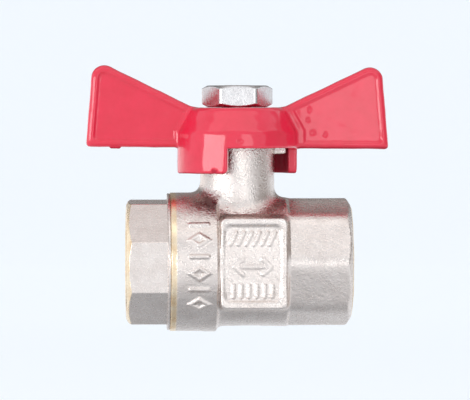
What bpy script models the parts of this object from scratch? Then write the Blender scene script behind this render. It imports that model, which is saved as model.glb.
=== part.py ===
"""Butterfly-handled ball valve with two female pipe ends, built as thirteen separate pieces.

The flow axis is X and the stem axis is Z; they cross at the ball's centre, which is the origin.
"""

import math

import bmesh
import bpy
from mathutils import Vector

MM = 0.001

# Driving dimensions.
CONNECTOR_END = -23.05 * MM           # end faces on the flow axis
BODY_END = 23.6 * MM
FLATS = 25.0 * MM                     # across the flats of both octagonal ends
THREAD_MINOR_RADIUS = 9.316 * MM      # G 1/2 internal thread
PORT_RADIUS = 7.2 * MM
BALL_RADIUS = 10.75 * MM
NECK_RADIUS = 7.7 * MM
NECK_TOP = 26.0 * MM
STEM_RADIUS = 4.0 * MM
HANDLE_HALF_SPAN = 31.45 * MM
NUT_FLATS = 13.0 * MM
GAP = 0.3 * MM                        # between pieces that touch

# Body.
COLLAR_RADIUS = 14.36 * MM
CHAMBER_RADIUS = 13.3 * MM
COLLAR_START = -13.85 * MM
COLLAR_END = -4.8 * MM
COLLAR_TAPER_END = -3.0 * MM
CHAMBER_END = 10.8 * MM
CONNECTOR_BORE_RADIUS = 12.5 * MM
CONNECTOR_BORE_END = -5.9 * MM
CAVITY_RADIUS = 11.3 * MM
SEAT_POCKET_RADIUS = 10.5 * MM
SEAT_POCKET_START = 5.9 * MM
WEB_INNER = 10.5 * MM                 # face of the web that carries a seat ring
SOCKET_BOTTOM = 13.2 * MM             # inner end of each threaded socket
SOCKET_MOUTH_RADIUS = 10.5 * MM
SOCKET_MOUTH_DEPTH = 1.1 * MM
BODY_FACE_RADIUS = 11.4 * MM          # outer edge of the flat end face, inside the turned chamfer
BODY_CORNER_RADIUS = 13.25 * MM       # the forged corners are rounded to this radius
BODY_CHAMFER_DEPTH = 1.15 * MM
CONNECTOR_FACE_RADIUS = 11.8 * MM
CONNECTOR_CORNER_RADIUS = 13.55 * MM
CONNECTOR_CHAMFER_DEPTH = 1.0 * MM

# Raised marking pads on the front and the back of the chamber.
PAD_X = (-3.9 * MM, 10.2 * MM)
PAD_Z = (-9.6 * MM, 9.4 * MM)
PAD_FACE = 13.7 * MM
PAD_FIELD_X = (-3.2 * MM, 8.8 * MM)
PAD_FIELD_Z = (-7.7 * MM, 8.0 * MM)
PAD_FIELD_DEPTH = 0.35 * MM
PAD_EDGE = 0.6 * MM

# Neck.
STEM_COLLAR_BORE_RADIUS = 5.7 * MM
NECK_SHOULDER = 14.4 * MM
STEM_BORE_RADIUS = 4.2 * MM
PACKING_CHAMBER_RADIUS = 6.0 * MM
PACKING_CHAMBER_FLOOR = 18.4 * MM
LUG_OUTER_RADIUS = 10.1 * MM
LUG_BOTTOM = 22.4 * MM
LUG_HALF_ANGLE = math.radians(10)

# End connector.
FLANGE_RADIUS = 14.2 * MM
FLANGE_X = (-14.6 * MM, -14.15 * MM)
MALE_THREAD_RADIUS = 12.3 * MM
CONNECTOR_INNER_END = -6.2 * MM
CONNECTOR_TURN = math.radians(4.0)    # the angle at which the tightened connector came to rest

# Handle.
BAND_RADIUS = 12.45 * MM
BAND_BOTTOM = 23.6 * MM
BAND_TOP = 26.8 * MM
HUB_TOP_RADIUS = 9.75 * MM
HUB_TOP = 32.2 * MM
HUB_CAVITY_RADIUS = 10.5 * MM
HUB_CAVITY_TOP = 27.0 * MM
TAB_BOTTOM = 18.35 * MM
TAB_START = math.radians(0)
TAB_SWEEP = math.radians(78)
RIB_START = math.radians(101)
RIB_SWEEP = math.radians(68)
RIB_INNER_RADIUS = 8.2 * MM
WING_THICKNESS = 5.0 * MM
WING_FIELD_DEPTH = 0.5 * MM
WING_RIM = 1.6 * MM
WING_ROOT = 9.0 * MM                  # where the outline starts, inside the hub
WING_FIELD_ROOT = 13.8 * MM           # where the recessed field starts, clear of the hub
WING_TIP_TOP = 40.5 * MM
WING_TIP_RADIUS = 3.2 * MM
WING_SLOPE = math.radians(26.2)
WING_END_LEAN = 1.14 * MM
WING_EDGE = 0.7 * MM

# Nut and stem.
NUT_Z = (32.5 * MM, 36.85 * MM)
NUT_CORNER_RADIUS = 7.3 * MM
NUT_FACE_RADIUS = 6.2 * MM
NUT_CHAMFER_DEPTH = 0.65 * MM
NUT_BORE_RADIUS = 4.1 * MM
STEM_THREAD_RADIUS = 3.9 * MM
STEM_TOP = 36.6 * MM
STEM_FLAT = 2.8 * MM
STEM_FLATS_START = 26.8 * MM
STEM_HOLE_GAP = 0.15 * MM
STEM_COLLAR_RADIUS = 5.4 * MM
STEM_COLLAR_Z = (11.2 * MM, 13.1 * MM)
TANG_SIZE = (3.2 * MM, 6.2 * MM)      # clears the seat rings when the ball is closed
TANG_BOTTOM = 8.3 * MM
SLOT_WIDTH = 3.8 * MM
SLOT_FLOOR = 7.9 * MM
O_RING_SECTION = 0.6 * MM
O_RING_HEIGHT = 16.4 * MM
O_RING_RADIUS = 3.47 * MM
O_RING_GROOVE_RADIUS = 2.75 * MM
O_RING_GROOVE_HALF = 0.95 * MM

# Packing round the stem, from the bottom up.
THRUST_WASHER_Z = (13.4 * MM, 14.2 * MM)
PACKING_LOWER_Z = (18.7 * MM, 20.3 * MM)
PACKING_UPPER_Z = (20.6 * MM, 22.2 * MM)
PACKING_GAP = 0.25 * MM
GLAND_Z = (22.5 * MM, 26.3 * MM)
GLAND_SLOT_WIDTH = 1.8 * MM
GLAND_SLOT_DEPTH = 1.4 * MM

SHARP_ANGLE = math.radians(35)        # edges steeper than this are shaded sharp
AROUND = 48                           # facets round the large turned pieces
AROUND_SMALL = 32                     # facets round the stem's pieces
OVERRUN = 2.0 * MM                    # how far a cutter runs past the face it opens


# Scene and object helpers.

def clear_scene():
    """Remove every object the file starts with."""
    for obj in list(bpy.data.objects):
        bpy.data.objects.remove(obj, do_unlink=True)


def material(name, colour, metallic, roughness):
    """Make a Principled BSDF material."""
    mat = bpy.data.materials.new(name)
    mat.use_nodes = True
    shader = mat.node_tree.nodes["Principled BSDF"]
    shader.inputs["Base Color"].default_value = (*colour, 1.0)
    shader.inputs["Metallic"].default_value = metallic
    shader.inputs["Roughness"].default_value = roughness
    return mat


def finish_object(name, bm, mat=None, smooth=True):
    """Turn a bmesh into a named object in the scene."""
    bmesh.ops.remove_doubles(bm, verts=bm.verts, dist=1e-7)
    bmesh.ops.recalc_face_normals(bm, faces=bm.faces)
    mesh = bpy.data.meshes.new(name)
    bm.to_mesh(mesh)
    bm.free()
    if smooth:
        mesh.shade_smooth()
        mesh.set_sharp_from_angle(angle=SHARP_ANGLE)
    obj = bpy.data.objects.new(name, mesh)
    if mat is not None:
        mesh.materials.append(mat)
    bpy.context.scene.collection.objects.link(obj)
    return obj


def combine(target, tool, operation):
    """Union, cut or intersect target with a tool object, which then becomes a hidden guide."""
    tool.hide_render = True
    tool.display_type = "WIRE"
    modifier = target.modifiers.new(tool.name, "BOOLEAN")
    modifier.operation = operation
    modifier.object = tool
    modifier.solver = "EXACT"


# Shape helpers.

AXES = {
    "X": (Vector((1, 0, 0)), Vector((0, 0, 1))),
    "Z": (Vector((0, 0, 1)), Vector((1, 0, 0))),
}


def turned(name, profile, axis, around=AROUND, mat=None):
    """Revolve a closed profile of (radius, place along the axis) points about X or Z."""
    along, out = AXES[axis]
    bm = bmesh.new()
    verts = [bm.verts.new(out * radius + along * place) for radius, place in profile]
    edges = [bm.edges.new((a, b)) for a, b in zip(verts, verts[1:] + verts[:1])]
    bmesh.ops.spin(bm, geom=verts + edges, axis=along, cent=(0, 0, 0), angle=math.tau,
                   steps=around, use_merge=True)
    return finish_object(name, bm, mat)


def rod(name, radius, start, end, axis, around=AROUND):
    """A plain turned cylinder between two places on the axis."""
    return turned(name, [(0, end), (radius, end), (radius, start), (0, start)], axis, around)


def extruded(name, outline, direction, mat=None):
    """Extrude a closed planar outline of 3-D points along a vector."""
    bm = bmesh.new()
    face = bm.faces.new([bm.verts.new(point) for point in outline])
    moved = bmesh.ops.extrude_face_region(bm, geom=[face])["geom"]
    corners = [item for item in moved if isinstance(item, bmesh.types.BMVert)]
    bmesh.ops.translate(bm, verts=corners, vec=direction)
    return finish_object(name, bm, mat, smooth=False)


def block(name, x_range, y_range, z_range):
    """A box between two places on each axis."""
    outline = [Vector((x, y, z_range[0])) for x, y in (
        (x_range[0], y_range[0]), (x_range[1], y_range[0]),
        (x_range[1], y_range[1]), (x_range[0], y_range[1]))]
    return extruded(name, outline, (0, 0, z_range[1] - z_range[0]))


def regular_outline(sides, across_flats, first_angle, place):
    """Corners of a regular polygon round the X axis."""
    radius = across_flats / 2 / math.cos(math.pi / sides)
    angles = [first_angle + math.tau * i / sides for i in range(sides)]
    return [Vector((place, radius * math.cos(a), radius * math.sin(a))) for a in angles]


def ring_sector(name, radii, z_range, start, sweep, steps):
    """A block bent round the Z axis between two radii."""
    inner, outer = radii
    angles = [start + sweep * i / steps for i in range(steps + 1)]
    outline = [Vector((outer * math.cos(a), outer * math.sin(a), z_range[0])) for a in angles]
    outline += [Vector((inner * math.cos(a), inner * math.sin(a), z_range[0])) for a in reversed(angles)]
    return extruded(name, outline, (0, 0, z_range[1] - z_range[0]))


def octagon_end(name, root_x, end_x, first_angle, face_radius, corner_radius, chamfer_depth):
    """An octagonal pipe end whose outer edge is turned to a chamfer at end_x."""
    octagon = extruded(name, regular_outline(8, FLATS, first_angle, root_x),
                       (end_x - root_x, 0, 0))
    outward = math.copysign(1.0, end_x)
    chamfer_start = end_x - outward * chamfer_depth
    envelope = turned(name + "_chamfer",
                      [(0, end_x), (face_radius, end_x), (corner_radius, chamfer_start),
                       (corner_radius, -end_x), (0, -end_x)], "X")
    combine(octagon, envelope, "INTERSECT")
    return octagon


def pipe_socket(name, end_x):
    """Cutter for a threaded socket and the port behind it, opening at end_x."""
    outward = math.copysign(1.0, end_x)
    past = end_x + outward * OVERRUN
    mouth = end_x - outward * SOCKET_MOUTH_DEPTH
    bottom = outward * SOCKET_BOTTOM
    inside = outward * (WEB_INNER - OVERRUN)
    return turned(name, [(0, past), (SOCKET_MOUTH_RADIUS, past), (SOCKET_MOUTH_RADIUS, end_x),
                         (THREAD_MINOR_RADIUS, mouth), (THREAD_MINOR_RADIUS, bottom),
                         (PORT_RADIUS, bottom), (PORT_RADIUS, inside), (0, inside)], "X")


# Pieces.

def build_body(mat):
    """Forged body: collar, chamber, pads, octagonal end and neck, bored from both ends."""
    body = turned("valve_body",
                  [(0, CHAMBER_END), (CHAMBER_RADIUS - 1.0 * MM, CHAMBER_END),
                   (CHAMBER_RADIUS, CHAMBER_END - 0.9 * MM), (CHAMBER_RADIUS, COLLAR_TAPER_END),
                   (COLLAR_RADIUS, COLLAR_END), (COLLAR_RADIUS, COLLAR_START), (0, COLLAR_START)],
                  "X", mat=mat)
    octagon = octagon_end("body_octagon", CHAMBER_END - OVERRUN, BODY_END, 0.0,
                          BODY_FACE_RADIUS, BODY_CORNER_RADIUS, BODY_CHAMFER_DEPTH)
    combine(body, octagon, "UNION")
    for side, sign in (("front", -1), ("back", 1)):
        face = sign * PAD_FACE
        pad = block(f"pad_{side}", PAD_X, sorted((0, face)), PAD_Z)
        bevel = pad.modifiers.new("edges", "BEVEL")
        bevel.width = PAD_EDGE
        bevel.segments = 1
        field = block(f"pad_field_{side}", PAD_FIELD_X,
                      sorted((face - sign * PAD_FIELD_DEPTH, face + sign * OVERRUN)), PAD_FIELD_Z)
        combine(body, pad, "UNION")
        combine(body, field, "DIFFERENCE")
    neck = rod("neck", NECK_RADIUS, 0, NECK_TOP, "Z", AROUND_SMALL)
    combine(body, neck, "UNION")
    for index in range(2):
        lug = ring_sector(f"stop_lug_{index}", (NECK_RADIUS - 1.0 * MM, LUG_OUTER_RADIUS),
                          (LUG_BOTTOM, NECK_TOP), math.pi * index - LUG_HALF_ANGLE,
                          2 * LUG_HALF_ANGLE, 2)
        combine(body, lug, "UNION")
    chamber = turned("chamber_bore",
                     [(0, WEB_INNER), (SEAT_POCKET_RADIUS, WEB_INNER),
                      (SEAT_POCKET_RADIUS, SEAT_POCKET_START), (CAVITY_RADIUS, SEAT_POCKET_START),
                      (CAVITY_RADIUS, CONNECTOR_BORE_END),
                      (CONNECTOR_BORE_RADIUS, CONNECTOR_BORE_END),
                      (CONNECTOR_BORE_RADIUS, COLLAR_START - OVERRUN),
                      (0, COLLAR_START - OVERRUN)], "X")
    stem_way = turned("stem_way",
                      [(0, NECK_TOP + OVERRUN), (PACKING_CHAMBER_RADIUS, NECK_TOP + OVERRUN),
                       (PACKING_CHAMBER_RADIUS, PACKING_CHAMBER_FLOOR),
                       (STEM_BORE_RADIUS, PACKING_CHAMBER_FLOOR), (STEM_BORE_RADIUS, NECK_SHOULDER),
                       (STEM_COLLAR_BORE_RADIUS, NECK_SHOULDER), (STEM_COLLAR_BORE_RADIUS, 0),
                       (0, 0)], "Z", AROUND_SMALL)
    for cutter in (chamber, stem_way, pipe_socket("body_socket", BODY_END)):
        combine(body, cutter, "DIFFERENCE")
    return body


def build_connector(mat):
    """Screwed-in end: octagon, thin flange, male thread and seat pocket."""
    connector = turned("end_connector",
                       [(0, CONNECTOR_INNER_END), (MALE_THREAD_RADIUS, CONNECTOR_INNER_END),
                        (MALE_THREAD_RADIUS, FLANGE_X[1]), (FLANGE_RADIUS, FLANGE_X[1]),
                        (FLANGE_RADIUS, FLANGE_X[0]), (0, FLANGE_X[0])], "X", mat=mat)
    octagon = octagon_end("connector_octagon", FLANGE_X[0] + 0.2 * MM, CONNECTOR_END,
                          math.pi / 8 + CONNECTOR_TURN, CONNECTOR_FACE_RADIUS,
                          CONNECTOR_CORNER_RADIUS, CONNECTOR_CHAMFER_DEPTH)
    combine(connector, octagon, "UNION")
    pocket = rod("seat_pocket", SEAT_POCKET_RADIUS, -WEB_INNER, CONNECTOR_INNER_END + OVERRUN, "X")
    combine(connector, pocket, "DIFFERENCE")
    combine(connector, pipe_socket("connector_socket", CONNECTOR_END), "DIFFERENCE")
    return connector


def build_ball(mat):
    """Bored ball with the slot that the stem's tang turns."""
    steps = 24
    arc = [math.pi * i / steps for i in range(steps + 1)]
    profile = [(BALL_RADIUS * math.sin(a), BALL_RADIUS * math.cos(a)) for a in arc]
    ball = turned("ball", profile, "X", mat=mat)
    combine(ball, rod("ball_bore", PORT_RADIUS, -2 * BALL_RADIUS, 2 * BALL_RADIUS, "X"), "DIFFERENCE")
    half_slot = SLOT_WIDTH / 2
    slot = block("ball_slot", (-half_slot, half_slot), (-BALL_RADIUS, BALL_RADIUS),
                 (SLOT_FLOOR, BALL_RADIUS + OVERRUN))
    combine(ball, slot, "DIFFERENCE")
    return ball


def build_seat_ring(name, side, mat):
    """Seat with a spherical face towards the ball; side is -1 or +1 along the flow axis."""
    outer_radius = SEAT_POCKET_RADIUS - GAP
    back = WEB_INNER - GAP
    face_radius = BALL_RADIUS + 0.25 * MM
    steps = 5
    radii = [PORT_RADIUS + (outer_radius - PORT_RADIUS) * i / steps for i in range(steps + 1)]
    face = [(r, math.sqrt(face_radius ** 2 - r ** 2)) for r in radii]
    profile = [(PORT_RADIUS, back)] + face + [(outer_radius, back)]
    return turned(name, [(r, side * place) for r, place in profile], "X", mat=mat)


def build_stem(mat):
    """Blow-out-proof stem: tang, collar, ring groove, flats and threaded top."""
    groove = (O_RING_HEIGHT - O_RING_GROOVE_HALF, O_RING_HEIGHT + O_RING_GROOVE_HALF)
    stem = turned("stem",
                  [(0, STEM_TOP), (STEM_THREAD_RADIUS - 0.5 * MM, STEM_TOP),
                   (STEM_THREAD_RADIUS, STEM_TOP - 0.5 * MM), (STEM_THREAD_RADIUS, STEM_FLATS_START),
                   (STEM_RADIUS, STEM_FLATS_START), (STEM_RADIUS, groove[1]),
                   (O_RING_GROOVE_RADIUS, groove[1]), (O_RING_GROOVE_RADIUS, groove[0]),
                   (STEM_RADIUS, groove[0]), (STEM_RADIUS, STEM_COLLAR_Z[1]),
                   (STEM_COLLAR_RADIUS, STEM_COLLAR_Z[1]), (STEM_COLLAR_RADIUS, STEM_COLLAR_Z[0]),
                   (0, STEM_COLLAR_Z[0])], "Z", AROUND_SMALL, mat)
    for side in (-1, 1):
        flat = block(f"stem_flat_{side}", sorted((side * STEM_FLAT, side * 3 * STEM_FLAT)),
                     (-STEM_COLLAR_RADIUS, STEM_COLLAR_RADIUS),
                     (STEM_FLATS_START, STEM_TOP + OVERRUN))
        combine(stem, flat, "DIFFERENCE")
    half_x, half_y = (size / 2 for size in TANG_SIZE)
    tang = block("stem_tang", (-half_x, half_x), (-half_y, half_y),
                 (TANG_BOTTOM, STEM_COLLAR_Z[0] + 0.5 * MM))
    combine(stem, tang, "UNION")
    return stem


def build_washer(name, radii, z_range, mat):
    """A flat ring round the stem."""
    inner, outer = radii
    low, high = z_range
    return turned(name, [(inner, high), (outer, high), (outer, low), (inner, low)], "Z",
                  AROUND_SMALL, mat)


def build_o_ring(mat):
    """Round-section ring in the stem's groove."""
    steps = 12
    angles = [math.tau * i / steps for i in range(steps)]
    profile = [(O_RING_RADIUS + O_RING_SECTION * math.cos(a), O_RING_HEIGHT - O_RING_SECTION * math.sin(a))
               for a in angles]
    return turned("stem_o_ring", profile, "Z", AROUND_SMALL, mat)


def build_gland_nut(mat):
    """Threaded ring that presses on the packing, with two spanner slots in its top."""
    top = GLAND_Z[1]
    half_slot = GLAND_SLOT_WIDTH / 2
    gland = build_washer("packing_gland_nut", (STEM_RADIUS + GAP, PACKING_CHAMBER_RADIUS - GAP),
                         GLAND_Z, mat)
    slots = block("gland_slots", (-half_slot, half_slot), (-NECK_RADIUS, NECK_RADIUS),
                  (top - GLAND_SLOT_DEPTH, top + OVERRUN))
    combine(gland, slots, "DIFFERENCE")
    return gland


def wing_outline(inset, root_x, y):
    """Closed outline of the right wing in the XZ plane, its outer edges moved in by inset."""
    tip_radius = WING_TIP_RADIUS - inset
    tip_x = HANDLE_HALF_SPAN - WING_END_LEAN - WING_TIP_RADIUS
    tip_z = WING_TIP_TOP - WING_TIP_RADIUS
    lean = math.atan2(WING_END_LEAN, tip_z - BAND_BOTTOM)
    first, last = lean, math.pi / 2 + WING_SLOPE
    steps = 6
    tip = []
    for i in range(steps + 1):
        angle = first + (last - first) * i / steps
        tip.append((tip_x + tip_radius * math.cos(angle), tip_z + tip_radius * math.sin(angle)))
    slope_x, slope_z = tip[-1]
    root_z = slope_z - (slope_x - root_x) * math.tan(WING_SLOPE)
    bottom = BAND_BOTTOM + inset
    points = [(root_x, bottom), (HANDLE_HALF_SPAN - inset, bottom)] + tip + [(root_x, root_z)]
    return [Vector((x, y, z)) for x, z in points]


def mirrored(outline, side):
    """The same outline on the right (+1) or the left (-1) of the stem."""
    return [Vector((side * p.x, p.y, p.z)) for p in outline]


def build_handle(mat):
    """One casting: hub, two skirt tabs, two inner stop ribs and two wings."""
    handle = turned("handle",
                    [(0, HUB_TOP), (HUB_TOP_RADIUS - 0.4 * MM, HUB_TOP),
                     (HUB_TOP_RADIUS + 0.1 * MM, HUB_TOP - 0.4 * MM), (BAND_RADIUS, BAND_TOP),
                     (BAND_RADIUS, BAND_BOTTOM), (0, BAND_BOTTOM)], "Z", mat=mat)
    half = WING_THICKNESS / 2
    field_y = half - WING_FIELD_DEPTH
    for side, word in ((-1, "left"), (1, "right")):
        wing = extruded(f"wing_{word}", mirrored(wing_outline(0.0, WING_ROOT, -half), side),
                        (0, WING_THICKNESS, 0))
        bevel = wing.modifiers.new("edges", "BEVEL")
        bevel.width = WING_EDGE
        bevel.segments = 1
        bevel.limit_method = "ANGLE"
        bevel.angle_limit = SHARP_ANGLE
        combine(handle, wing, "UNION")
        for face in (-1, 1):
            outline = mirrored(wing_outline(WING_RIM, WING_FIELD_ROOT, face * field_y), side)
            field = extruded(f"wing_field_{word}_{face}", outline, (0, face * OVERRUN, 0))
            combine(handle, field, "DIFFERENCE")
    cavity = rod("hub_cavity", HUB_CAVITY_RADIUS, BAND_BOTTOM - OVERRUN, HUB_CAVITY_TOP, "Z")
    combine(handle, cavity, "DIFFERENCE")
    for index in range(2):
        tab = ring_sector(f"tab_{index}", (HUB_CAVITY_RADIUS, BAND_RADIUS),
                          (TAB_BOTTOM, BAND_BOTTOM + 1.0 * MM), TAB_START + math.pi * index, TAB_SWEEP, 10)
        rib = ring_sector(f"stop_rib_{index}", (RIB_INNER_RADIUS, HUB_CAVITY_RADIUS + 0.5 * MM),
                          (BAND_BOTTOM + 0.4 * MM, HUB_CAVITY_TOP + 0.5 * MM),
                          RIB_START + math.pi * index, RIB_SWEEP, 8)
        combine(handle, tab, "UNION")
        combine(handle, rib, "UNION")
    hole = rod("stem_hole", NUT_BORE_RADIUS, BAND_TOP - OVERRUN, HUB_TOP + OVERRUN,
               "Z", AROUND_SMALL)
    half_hole = STEM_FLAT + STEM_HOLE_GAP
    flats = block("stem_hole_flats", (-half_hole, half_hole),
                  (-STEM_COLLAR_RADIUS, STEM_COLLAR_RADIUS), (BAND_TOP - OVERRUN, HUB_TOP + OVERRUN))
    combine(hole, flats, "INTERSECT")
    combine(handle, hole, "DIFFERENCE")
    return handle


def build_handle_nut(mat):
    """Hexagon nut with both faces chamfered, a flat towards the front."""
    low, high = NUT_Z
    radius = NUT_FLATS / 2 / math.cos(math.pi / 6)
    corners = [math.tau * i / 6 for i in range(6)]
    outline = [Vector((radius * math.cos(a), radius * math.sin(a), low)) for a in corners]
    nut = extruded("handle_nut", outline, (0, 0, high - low), mat)
    envelope = turned("nut_chamfer",
                      [(0, high), (NUT_FACE_RADIUS, high),
                       (NUT_CORNER_RADIUS, high - NUT_CHAMFER_DEPTH),
                       (NUT_CORNER_RADIUS, low + NUT_CHAMFER_DEPTH), (NUT_FACE_RADIUS, low),
                       (0, low)], "Z")
    combine(nut, envelope, "INTERSECT")
    bore = rod("nut_bore", NUT_BORE_RADIUS, low - OVERRUN, high + OVERRUN, "Z", AROUND_SMALL)
    combine(nut, bore, "DIFFERENCE")
    return nut


def build_valve():
    """Make every piece and place the turning ones on the stem's axis."""
    nickel = material("nickel_plated_brass", (0.72, 0.68, 0.66), 1.0, 0.32)
    chromed = material("chromed_ball", (0.85, 0.85, 0.87), 1.0, 0.08)
    brass = material("brass", (0.78, 0.58, 0.30), 1.0, 0.3)
    ptfe = material("ptfe", (0.9, 0.9, 0.88), 0.0, 0.5)
    rubber = material("rubber", (0.03, 0.03, 0.03), 0.0, 0.7)
    red = material("red_paint", (0.8, 0.06, 0.09), 0.0, 0.25)
    steel = material("plated_steel", (0.8, 0.78, 0.78), 1.0, 0.3)

    build_body(nickel)
    build_connector(nickel)
    build_seat_ring("seat_ring_inlet", -1, ptfe)
    build_seat_ring("seat_ring_outlet", 1, ptfe)
    build_washer("stem_thrust_washer", (STEM_RADIUS + GAP, STEM_COLLAR_RADIUS),
                 THRUST_WASHER_Z, ptfe)
    packing_radii = (STEM_RADIUS + PACKING_GAP, PACKING_CHAMBER_RADIUS - PACKING_GAP)
    build_washer("packing_ring_lower", packing_radii, PACKING_LOWER_Z, ptfe)
    build_washer("packing_ring_upper", packing_radii, PACKING_UPPER_Z, ptfe)
    build_gland_nut(brass)
    build_ball(chromed)

    turning = [build_stem(brass), build_o_ring(rubber), build_handle(red), build_handle_nut(steel)]
    stem_axis = bpy.data.objects.new("stem_axis", None)
    bpy.context.scene.collection.objects.link(stem_axis)
    for piece in turning:
        piece.parent = stem_axis


clear_scene()
build_valve()
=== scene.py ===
"""Looks of the ball valve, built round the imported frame.

Each visible piece is worked out as an implicit shape in millimetres, turned into a mesh by a
surface net, and given a procedural material. The turned pieces are revolved profiles.
"""

import math

import bmesh
import bpy
import numpy as np
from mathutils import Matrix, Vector


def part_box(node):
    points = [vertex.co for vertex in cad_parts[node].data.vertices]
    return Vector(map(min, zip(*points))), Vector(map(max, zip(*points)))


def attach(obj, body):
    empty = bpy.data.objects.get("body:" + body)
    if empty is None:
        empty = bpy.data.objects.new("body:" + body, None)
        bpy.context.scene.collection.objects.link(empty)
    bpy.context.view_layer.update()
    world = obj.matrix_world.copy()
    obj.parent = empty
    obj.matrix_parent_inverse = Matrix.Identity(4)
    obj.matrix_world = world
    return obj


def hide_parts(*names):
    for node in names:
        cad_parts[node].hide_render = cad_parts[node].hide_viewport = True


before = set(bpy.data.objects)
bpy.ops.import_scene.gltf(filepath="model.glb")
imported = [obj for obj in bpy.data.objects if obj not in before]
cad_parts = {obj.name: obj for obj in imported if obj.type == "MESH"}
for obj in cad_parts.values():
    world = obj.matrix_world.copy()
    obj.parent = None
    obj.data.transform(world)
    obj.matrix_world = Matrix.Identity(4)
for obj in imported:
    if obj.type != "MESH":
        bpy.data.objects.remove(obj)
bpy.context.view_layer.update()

MM = 0.001


def node_box_mm(node):
    """The lowest and highest corners of a CAD node, in millimetres."""
    low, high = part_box(node)
    return low / MM, high / MM


BODY_HIGH = node_box_mm("valve_body")[1]
CONNECTOR_LOW, CONNECTOR_HIGH = node_box_mm("end_connector")
HANDLE_LOW, HANDLE_HIGH = node_box_mm("handle")
STEM_LOW, STEM_HIGH = node_box_mm("stem")

# Driving dimensions, in millimetres.
FLATS = 25.0                    # across the flats of both octagonal ends
PORT_RADIUS = 7.2
BALL_RADIUS = node_box_mm("ball")[1].y
THREAD_MINOR_RADIUS = 9.316     # half-inch pipe thread
THREAD_DEPTH = 1.16
THREAD_PITCH = 1.814
SOCKET_BOTTOM = 13.2
SOCKET_MOUTH = 1.3              # how much wider the chamfered mouth is than the thread
WEB_INNER = 10.5                # face of the web that carries a seat ring
SEAT_POCKET_RADIUS = 10.5
GOLDEN = (1 + math.sqrt(5)) / 2

# Body.
COLLAR_X = (-14.05, -4.6)
COLLAR_RADIUS = 14.36
CHAMBER_X = (-6.0, 10.3)
CHAMBER_RADIUS = 13.3
CHAMBER_BORE_X = (-7.0, 5.9)
CHAMBER_BORE_RADIUS = 11.3
CONNECTOR_BORE_RADIUS = 12.5
CONNECTOR_BORE_END = -5.9
BODY_FACE_RADIUS = 11.5         # outer edge of the flat end face, inside the turned chamfer
BODY_CORNER_RADIUS = 13.25      # the octagon's corners are turned down to this radius
CHAMFER_DEPTH = 1.15            # along the flow axis, on both ends
NECK_RADIUS = 7.7
NECK_TOP = BODY_HIGH.z
NECK_SHOULDER = 14.4
STEM_COLLAR_BORE_RADIUS = 5.7
STEM_BORE_RADIUS = 4.2
PACKING_RADIUS = 6.0
PACKING_FLOOR = 18.4
LUG_RADIUS = 10.1
LUG_BOTTOM = 22.4
LUG_HALF_ANGLE = math.radians(10)
PAD_FACE = 13.7
PAD_DRAFT = 0.12                # slope of the pads' sides, as forging dies need
PAD_X = (-3.9, 9.7)
PAD_Z = (-9.25, 9.3)
FIELD_X = (-3.25, 8.6)
FIELD_Z = (-7.85, 8.0)
MARK_HEIGHT = 0.36
BARE_BAND_END = -12.7           # the collar's rim is machined back to brass up to here

# End connector.
CONNECTOR_TURN = math.radians(4.0)
CONNECTOR_FACE_RADIUS = 11.8
CONNECTOR_CORNER_RADIUS = 13.9
CONNECTOR_OCTAGON_END = -14.4
FLANGE_RADIUS = 14.2
FLANGE_X = (-14.62, -14.06)
MALE_THREAD_RADIUS = 12.3
MALE_THREAD_START = -15.0


# Implicit shapes. Every field is below zero inside, and takes and gives numpy arrays.

def smooth_min(a, b, k):
    """Union of two fields with a fillet about k wide."""
    h = np.clip(0.5 + 0.5 * (b - a) / k, 0.0, 1.0)
    return b + (a - b) * h - k * h * (1.0 - h)


def smooth_max(a, b, k):
    """Intersection of two fields with a rounded edge about k wide."""
    return -smooth_min(-a, -b, k)


def smooth_step(low, high, value):
    """0 below low, 1 above high, and smooth between."""
    t = np.clip((value - low) / (high - low), 0.0, 1.0)
    return t * t * (3.0 - 2.0 * t)


def round_box(k, *sides):
    """Intersection of several fields, each edge rounded by k."""
    result = sides[0]
    for side in sides[1:]:
        result = smooth_max(result, side, k)
    return result


def line_field(u, v, start, end):
    """Distance to the straight line through two points, below zero on its left."""
    du, dv = end[0] - start[0], end[1] - start[1]
    length = math.hypot(du, dv)
    return ((u - start[0]) * dv - (v - start[1]) * du) / length


def polygon_bar(across_flats, sides, first_angle, u, v, k):
    """Regular prism along the third axis; first_angle is that of the first flat's normal."""
    result = None
    for index in range(sides):
        angle = first_angle + math.tau * index / sides
        flat = u * math.cos(angle) + v * math.sin(angle) - across_flats / 2
        result = flat if result is None else smooth_max(result, flat, k)
    return result


def ripple(x, y, z, wavelength, seed):
    """Smooth unevenness between about -1 and 1, made of a few slanting waves."""
    total = 0.0
    for index in range(4):
        turn = seed + index * GOLDEN * math.pi
        lift = math.sin(1.7 * seed + 2.3 * index)
        flat = math.sqrt(1.0 - 0.8 * lift * lift)
        along = (x * math.cos(turn) * flat + y * math.sin(turn) * flat + z * lift * 0.9)
        length = wavelength * (0.8 + 0.15 * index)
        total = total + np.sin(along * math.tau / length + 2.1 * index)
    return total / 4.0


def stroke(u, v, start, end, half_width):
    """Distance outside a round-ended line in the plane; below zero inside it."""
    du, dv = end[0] - start[0], end[1] - start[1]
    square = du * du + dv * dv + 1e-9
    t = np.clip(((u - start[0]) * du + (v - start[1]) * dv) / square, 0.0, 1.0)
    return np.hypot(u - start[0] - t * du, v - start[1] - t * dv) - half_width


def thread_wave(along, angle, pitch):
    """0 at a thread's crest and 1 at its root, with flattened ends, for a right-hand helix."""
    turn = along / pitch - angle / math.tau
    saw = 2.0 * np.abs(turn - np.floor(turn) - 0.5)
    return np.clip(1.25 * saw - 0.125, 0.0, 1.0)


# Meshes.

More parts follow.
